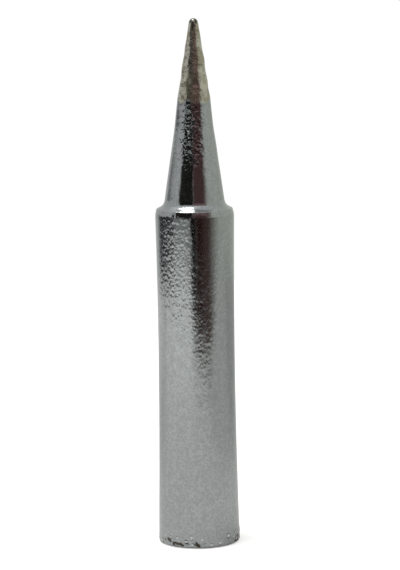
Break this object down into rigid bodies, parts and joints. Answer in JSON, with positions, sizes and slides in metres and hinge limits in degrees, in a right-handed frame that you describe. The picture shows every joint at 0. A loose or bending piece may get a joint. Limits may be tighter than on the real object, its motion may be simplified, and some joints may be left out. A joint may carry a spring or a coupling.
{
  "type": "soldering iron tip",
  "caption": "Plated conical soldering iron tip: a straight hollow barrel that slides over a heater, a stepped shoulder, and a cone with a tinned, rounded point.",
  "frame": {"origin": "centre of the open rear face", "axes": "+Z along the tip towards its working end; the tip is round, so X and Y are free"},
  "size_m": [0.0068, 0.0068, 0.044],
  "materials": {
    "plating": "satin, slightly pebbled chromium plate, tinned over the front of the cone"
  },
  "bodies": {
    "root": {"soldering_tip": "plating"}
  },
  "joints": []
}
